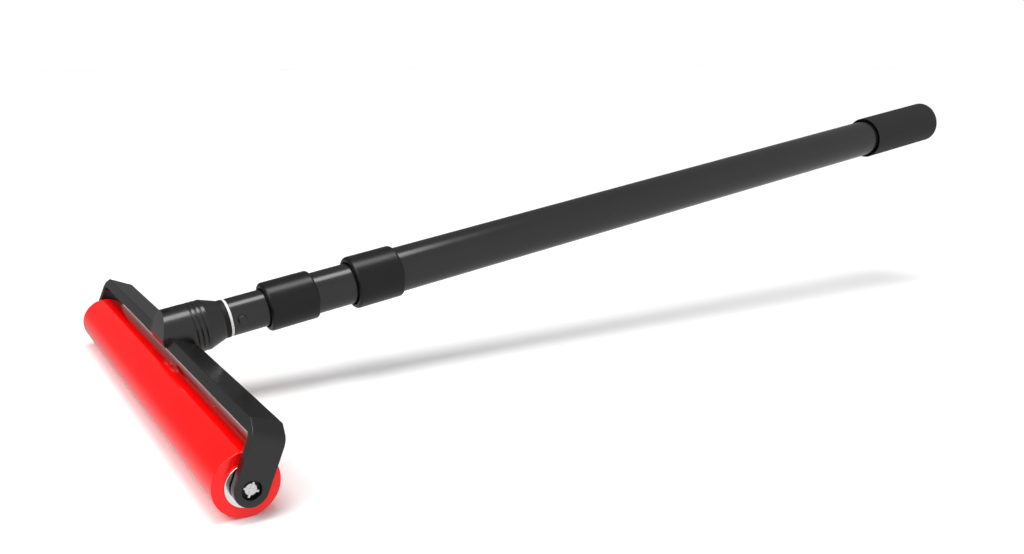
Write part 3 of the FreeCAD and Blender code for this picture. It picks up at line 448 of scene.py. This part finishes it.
def combine(base, tool, operation):
    """Adds the tool's solid to the base's, or cuts it away, and removes the tool."""
    modifier = base.modifiers.new("work", "BOOLEAN")
    modifier.operation, modifier.solver, modifier.object = operation, "EXACT", tool
    base.modifiers.move(len(base.modifiers) - 1, 0)
    for other in list(base.modifiers)[1:]:
        other.show_viewport = False
    graph = bpy.context.evaluated_depsgraph_get()
    graph.update()
    mesh = bpy.data.meshes.new_from_object(base.evaluated_get(graph), depsgraph=graph)
    base.modifiers.remove(modifier)
    for other in base.modifiers:
        other.show_viewport = True
    base.data = mesh
    mesh.shade_smooth()
    mesh.set_sharp_from_angle(angle=math.radians(30))
    bpy.data.objects.remove(tool)
    return base


def slab(name, outline, low, high, axis, bevel=0.0):
    """Flat outline (across, up), carried along an axis from low to high and capped."""
    origin, along, up = (np.array(vector, float) for vector in axis)
    side = np.cross(along, up)
    flat = np.asarray(outline)[:, :1] * side + np.asarray(outline)[:, 1:] * up
    points = np.concatenate([origin + flat + along * low, origin + flat + along * high])
    count = len(flat)
    sides = [(k, (k + 1) % count, (k + 1) % count + count, k + count) for k in range(count)]
    caps = [tuple(range(count)), tuple(range(count, 2 * count))]
    return piece(name, points, sides + caps, bevel=bevel)


def cross(half_long, half_short):
    """Outline of an upright cross."""
    a, b = half_long, half_short
    return np.array([(b, b), (b, a), (-b, a), (-b, b), (-a, b), (-a, -b), (-b, -b), (-b, -a),
                     (b, -a), (b, -b), (a, -b), (a, b)])


def zinc_plate():
    """Bright zinc plate, a little cloudy."""
    material, shader, place = surface("zinc_plate", Metallic=1.0)
    cloud = place.noise(700, 3.0)
    feed(shader, place, colour=cloud.tinted((0.48, 0.48, 0.48), (0.84, 0.84, 0.83)),
         roughness=cloud * 0.2 + 0.16, height=place.noise(2600, 2.0), depth=0.02 * MM)
    return material


def black_oxide():
    """Black oxide on steel, close to matte."""
    material, shader, place = surface("black_oxide", IOR=1.5)
    cloud = place.noise(500, 3.0)
    feed(shader, place, colour=cloud.tinted((0.004, 0.004, 0.004), (0.010, 0.010, 0.010)),
         roughness=cloud * 0.2 + 0.42)
    return material


plate, oxide = zinc_plate(), black_oxide()
screw_last = spread("axle_screws", ROLLER_AXIS)[1]
washer_radius, washer_thick, washer_edge = 4.6 * MM, 0.5 * MM, 0.15 * MM
shank_radius, shank_reach, shank_tip, rib_height = 2.0 * MM, 10.0 * MM, 0.4 * MM, 0.35 * MM
washer_top, head_top = counterbore_floor + washer_thick, screw_last - rib_height
screw_foot = counterbore_floor - shank_reach
for side, sign in (("left", 1), ("right", -1)):
    outwards = (axle, (sign, 0, 0), OFF_BAR)
    screw = turned(f"{side}_axle_screw", rounded([
        (screw_foot, 0, 0), (screw_foot, shank_radius, shank_tip),
        (washer_top, shank_radius, 0), (washer_top, head_radius, head_edge),
        (head_top, head_radius, head_round), (head_top, 0, 0)], steps=6), outwards, steps=72)
    ribs = slab(f"{side}_ribs", cross(rib_half_span, rib_half_width),
                washer_top + rib_foot, screw_last, outwards)
    screw = combine(screw, ribs, "UNION")
    dress(screw, plate, "head", "plated_steel", "axle_screws")
    washer = turned(f"{side}_lock_washer", rounded([
        (counterbore_floor, screw_hole, 0), (counterbore_floor, washer_radius, 0),
        (washer_top, washer_radius, washer_edge), (washer_top, screw_hole, 0)], steps=4),
        outwards, steps=96)
    dress(washer, oxide, "head", "black_steel", "axle_washers")

# Pole socket ----------------------------------------------------------------------------------
# A black nylon moulding that straddles the bar, with a lip down its front. Three grooves ring its
# barrel before the cone. Its seat is cut square to the bar, and two screws hold it from below.

pole_joint = next(j for j in frame["joints"] if j["name"] == "front_lock_twist")
ALONG_POLE = np.array(pole_joint["axis"], float)
ALONG_POLE = ALONG_POLE / np.linalg.norm(ALONG_POLE)
on_pole = np.array(pole_joint["pos_m"], float)
pole_foot = on_pole - ALONG_POLE * ((on_pole - axle) @ ALONG_POLE)
ABOVE_POLE = np.cross(np.array((1.0, 0, 0)), ALONG_POLE)
POLE_AXIS = (pole_foot, ALONG_POLE, ABOVE_POLE)
barrel_radius = 16.9 * MM
cone_end_radius, thread_bore, thread_bottom = 12.9 * MM, 9.55 * MM, 26.5 * MM
groove_stations = np.array((26.4, 29.5, 32.6)) * MM
ring_groove_width, ring_groove_depth = 1.3 * MM, 0.5 * MM
groove_lip, groove_round = 0.25 * MM, 0.2 * MM
cone_start, cone_end, cone_bend, cone_edge = 35.1 * MM, 46.2 * MM, 1.4 * MM, 0.3 * MM

barrel = [(0, 0, 0), (0, barrel_radius, 0)]
for station in groove_stations:
    barrel += [(station - ring_groove_width / 2, barrel_radius, groove_lip),
               (station, barrel_radius - ring_groove_depth, groove_round),
               (station + ring_groove_width / 2, barrel_radius, groove_lip)]
barrel += [(cone_start, barrel_radius, cone_bend), (cone_end, cone_end_radius, cone_edge),
           (cone_end, thread_bore, 0), (thread_bottom, thread_bore, 0), (thread_bottom, 0, 0)]
socket = turned("moulded_socket", rounded(barrel, steps=6), POLE_AXIS, steps=200)
cut_front, cut_top, cut_side = 48.0 * MM, 52.0 * MM, 30.0 * MM
lip_foot, lip_bend, lip_top = 9.5 * MM, (11.9 * MM, 29.4 * MM), 15.8 * MM
seat_outline = [(cut_front, -half_width * 2), (-half_width, -half_width * 2),
                (-half_width, bar_top), (half_width, bar_top), (half_width, bar_underside),
                (lip_foot, bar_underside), lip_bend, (lip_top, cut_top), (cut_front, cut_top)]
seat_cut = slab("seat_cut", seat_outline, -cut_side, cut_side, (axle, (1.0, 0, 0), OFF_BAR))
socket = combine(socket, seat_cut, "DIFFERENCE")


def moulded_nylon(name, dark, light, gloss, **constants):
    """Satin nylon moulding with a very fine spark-eroded grain."""
    material, shader, place = surface(name, IOR=1.5, **constants)
    cloud = place.noise(80, 3.0)
    feed(shader, place, colour=cloud.tinted(dark, light), roughness=cloud * 0.08 + gloss,
         height=place.noise(2200, 2.0), depth=0.005 * MM)
    return material


black_nylon = moulded_nylon("black_nylon", (0.004, 0.004, 0.004), (0.007, 0.007, 0.007), 0.20)
dress(socket, black_nylon, "head", "black_nylon", "pole_socket")

pan_radius, pan_height, pan_round, pan_offset = 4.4 * MM, 2.4 * MM, 1.3 * MM, 8.0 * MM
pan_reach, driver_span, driver_width, driver_depth = 16.0 * MM, 2.5 * MM, 0.6 * MM, 1.3 * MM
driver_clear = 1.0 * MM
for k, sign in enumerate((1, -1)):
    down = (axle + np.array((sign * pan_offset, 0, 0)), -OFF_BAR, TOWARDS_GRIP)
    top, tip = -bar_underside, -(bar_underside + pan_reach)
    pan = turned(f"socket_screw_{k + 1}", rounded([
        (tip, 0, 0), (tip, shank_radius, shank_tip), (top, shank_radius, 0), (top, pan_radius, 0),
        (top + pan_height, pan_radius, pan_round), (top + pan_height, 0, 0)], steps=8),
        down, steps=72)
    driver = slab(f"driver_{k + 1}", cross(driver_span, driver_width),
                  top + pan_height - driver_depth, top + pan_height + driver_clear, down)
    pan = combine(pan, driver, "DIFFERENCE")
    dress(pan, plate, "head", "plated_steel", "socket_screws")

# Seal and ring at the front of the pole --------------------------------------------------------
# A black rubber seal closes the joint at the end of the cone, and a thin white nylon ring marks
# where the tube starts.

seal_edge, ring_edge = 0.25 * MM, 0.15 * MM
seal_first, seal_last, seal_radius = spread("tip_seal_ring", POLE_AXIS)
seal = turned("rubber_seal", rounded([
    (seal_first, thread_bore, 0), (seal_first, seal_radius, seal_edge),
    (seal_last, seal_radius, seal_edge), (seal_last, thread_bore, 0)], steps=4), POLE_AXIS)


def seal_rubber():
    """Dull black rubber."""
    material, shader, place = surface("seal_rubber", IOR=1.33)
    cloud = place.noise(300, 3.0)
    feed(shader, place, colour=cloud.tinted((0.002, 0.002, 0.002), (0.004, 0.004, 0.004)),
         roughness=cloud * 0.15 + 0.5, height=place.noise(2500, 2.0), depth=0.03 * MM)
    return material


dress(seal, seal_rubber(), "head", "black_rubber", "tip_seal_ring")
ring_first, ring_last, ring_radius = spread("white_ring", POLE_AXIS)
marker = turned("white_marker_ring", rounded([
    (ring_first, thread_bore, 0), (ring_first, ring_radius, ring_edge),
    (ring_last, ring_radius, ring_edge), (ring_last, thread_bore, 0)], steps=4), POLE_AXIS)
white_nylon = moulded_nylon("white_nylon", (0.62, 0.62, 0.61), (0.70, 0.70, 0.69), 0.34)
dress(marker, white_nylon, "head", "white_nylon", "white_ring")

# Pole tubes -----------------------------------------------------------------------------------
# Three drawn aluminium tubes, each sliding in the next, anodised satin black. Drawing leaves fine
# lines along them. The front tube has a round hole for the snap button.

tube_wall, tube_edge = 1.5 * MM, 0.3 * MM


def anodised_tube():
    """Satin black anodising with fine drawing lines along the pole."""
    material, shader, place = surface("anodised_tube", IOR=1.5)
    rise = math.atan2(ALONG_POLE[2], ALONG_POLE[1])
    lined = place.node("Mapping", {"vector_type": "TEXTURE"},
                       {"Vector": place, "Rotation": (rise, 0, 0), "Scale": (1, 60, 1)})
    lines, cloud = lined.noise(2400, 3.0), place.noise(35, 3.0)
    feed(shader, place,
         colour=cloud.tinted((0.004, 0.004, 0.004), (0.007, 0.007, 0.007)),
         roughness=cloud * 0.05 + lines * 0.05 + 0.17,
         height=lines, depth=0.003 * MM)
    return material


anodised = anodised_tube()
tube_bodies = {"inner_tube": "head", "mid_tube": "mid_section", "main_tube": "main_section"}
tubes = {}
for name in tube_bodies:
    first, last, radius = spread(name, POLE_AXIS)
    tubes[name] = turned(f"{name}_drawn", rounded([
        (first, radius - tube_wall, 0), (first, radius, tube_edge), (last, radius, tube_edge),
        (last, radius - tube_wall, 0)], steps=4), POLE_AXIS)
button_station, button_radius, button_play = 57.0 * MM, 3.0 * MM, 0.1 * MM
drill_from, drill_to, drill_radius = 5 * MM, 20 * MM, button_radius + button_play
BUTTON_AXIS = (pole_foot + ALONG_POLE * button_station, (1.0, 0, 0), ABOVE_POLE)
drill = turned("button_drill", [(drill_from, 0), (drill_from, drill_radius),
                                (drill_to, drill_radius), (drill_to, 0)], BUTTON_AXIS, steps=64)
tubes["inner_tube"] = combine(tubes["inner_tube"], drill, "DIFFERENCE")
for name, body in tube_bodies.items():
    dress(tubes[name], anodised, body, "black_anodised_tube", name)

# Snap button ----------------------------------------------------------------------------------
# A small domed steel button, dark plated, that a leaf spring inside the tube pushes outwards.

button_foot, button_top, _ = spread("snap_button", BUTTON_AXIS)
flange_radius, flange_top, crown_round, crown_rise = 3.8 * MM, 0.8 * MM, 1.0 * MM, 0.1 * MM
button = turned("domed_button", rounded([
    (button_foot, 0, 0), (button_foot, flange_radius, 0),
    (button_foot + flange_top, flange_radius, 0), (button_foot + flange_top, button_radius, 0),
    (button_top - crown_rise, button_radius, crown_round),
    (button_top, 0, 0)], steps=8), BUTTON_AXIS, steps=72)


def dark_plate():
    """Dark plated steel, smooth and slightly glossy."""
    material, shader, place = surface("dark_plate", IOR=1.5)
    cloud = place.noise(600, 3.0)
    feed(shader, place, colour=cloud.tinted((0.006, 0.005, 0.005), (0.012, 0.008, 0.008)),
         roughness=cloud * 0.12 + 0.2)
    return material


dress(button, dark_plate(), "button", "button_steel", "snap_button")

# Lock collars ---------------------------------------------------------------------------------
# Moulded collars with rounded rims. Inside, a cone squeezes a split collet on the thinner tube
# as the collar turns.

collar_plastic = moulded_nylon("collar_plastic", (0.003, 0.003, 0.003), (0.005, 0.005, 0.005),
                               0.26, Specular_IOR_Level=0.27)
front_round, rear_round, lip_edge = 2.3 * MM, 1.9 * MM, 0.4 * MM
lip_gap, cone_gap = 1.0 * MM, 1.6 * MM
bore_gap, cone_mouth_gap, rear_gap = 1.2 * MM, 0.85 * MM, 0.25 * MM
lip_depth, cone_depth, rear_lip_width = 3.4 * MM, 11.0 * MM, 2.0 * MM
for name, body, thin, thick in (("front", "front_collar", "inner_tube", "mid_tube"),
                                ("rear", "rear_collar", "mid_tube", "main_tube")):
    first, last, radius = spread(f"{name}_lock_collar", POLE_AXIS)
    thin_radius, thick_radius = spread(thin, POLE_AXIS)[2], spread(thick, POLE_AXIS)[2]
    lip, cone = thin_radius + lip_gap, thin_radius + cone_gap
    cone_mouth, bore, rear_lip = thick_radius + np.array((cone_mouth_gap, bore_gap, rear_gap))
    lip_end, cone_mouth_at, rear_step = first + lip_depth, first + cone_depth, last - rear_lip_width
    collar = turned(f"{name}_twist_collar", rounded([
        (first, lip, lip_edge), (first, radius, front_round), (last, radius, rear_round),
        (last, rear_lip, 0), (rear_step, rear_lip, 0), (rear_step, bore, 0),
        (cone_mouth_at, bore, 0), (cone_mouth_at, cone_mouth, 0),
        (lip_end, cone, 0), (lip_end, lip, 0)]), POLE_AXIS)
    dress(collar, collar_plastic, body, "collar_plastic", f"{name}_lock_collar")

# Hand grip ------------------------------------------------------------------------------------
# A rubber sleeve with a closed end, pushed over the rear of the pole. Its front lip stands clear
# of the tube, so a dark gap shows there.

grip_first, grip_last, grip_radius = spread("hand_grip", POLE_AXIS)
main_radius = spread("main_tube", POLE_AXIS)[2]
grip_lip, grip_recess, grip_wall = 0.55 * MM, 6.0 * MM, 2.0 * MM
grip_round, grip_edge = 1.5 * MM, 0.2 * MM
grip = turned("rubber_grip", rounded([
    (grip_first, grip_radius - grip_lip, 0), (grip_first, grip_radius, grip_edge),
    (grip_last, grip_radius, grip_round), (grip_last, 0, 0), (grip_last - grip_wall, 0, 0),
    (grip_last - grip_wall, main_radius, 0), (grip_first + grip_recess, main_radius, 0),
    (grip_first + grip_recess, grip_radius - grip_lip, 0)]), POLE_AXIS, steps=192)


def grip_rubber():
    """Matte black rubber with a fine even grain."""
    material, shader, place = surface("grip_rubber", IOR=1.45)
    cloud = place.noise(120, 4.0)
    feed(shader, place, colour=cloud.tinted((0.003, 0.003, 0.003), (0.006, 0.006, 0.006)),
         roughness=cloud * 0.1 + 0.58, height=place.noise(1800, 3.0), depth=0.03 * MM)
    return material


dress(grip, grip_rubber(), "main_section", "black_rubber", "hand_grip")

# Pieces inside --------------------------------------------------------------------------------
# Bearings, axle, core, bushes, collets, ferrules, tip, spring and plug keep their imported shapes,
# because they are closed in. Each still has the finish of what it is made of.


def ground_steel():
    """Ground bearing steel with a fine grain."""
    material, shader, place = surface("ground_steel", Metallic=1.0)
    grain = place.noise(1800, 3.0)
    feed(shader, place, colour=grain.tinted((0.52, 0.52, 0.54), (0.66, 0.66, 0.68)),
         roughness=grain * 0.12 + 0.2)
    return material


def mill_aluminium():
    """Plain drawn aluminium, soft and cloudy."""
    material, shader, place = surface("mill_aluminium", Metallic=1.0)
    cloud = place.noise(200, 3.0)
    feed(shader, place, colour=cloud.tinted((0.68, 0.68, 0.70), (0.80, 0.80, 0.82)),
         roughness=cloud * 0.15 + 0.3)
    return material


def pressed_brass():
    """Pressed brass sheet."""
    material, shader, place = surface("pressed_brass", Metallic=1.0)
    cloud = place.noise(900, 3.0)
    feed(shader, place, colour=cloud.tinted((0.64, 0.44, 0.16), (0.78, 0.57, 0.24)),
         roughness=cloud * 0.12 + 0.24)
    return material


inside_finishes = {
    "bearing_steel": ground_steel(),
    "bare_aluminium": mill_aluminium(),
    "brass_cage": pressed_brass(),
    "natural_nylon": moulded_nylon("natural_nylon", (0.70, 0.67, 0.57), (0.82, 0.79, 0.70), 0.38),
    "black_nylon": black_nylon,
}
slot_of = {row["node"]: row["material_slot"] for row in frame["record"]["subparts"]}
for name, node in sorted(frame["nodes"].items()):
    if not node.hide_render:
        for material_slot in node.material_slots:
            material_slot.material = inside_finishes[slot_of[name]]

bpy.context.view_layer.update()
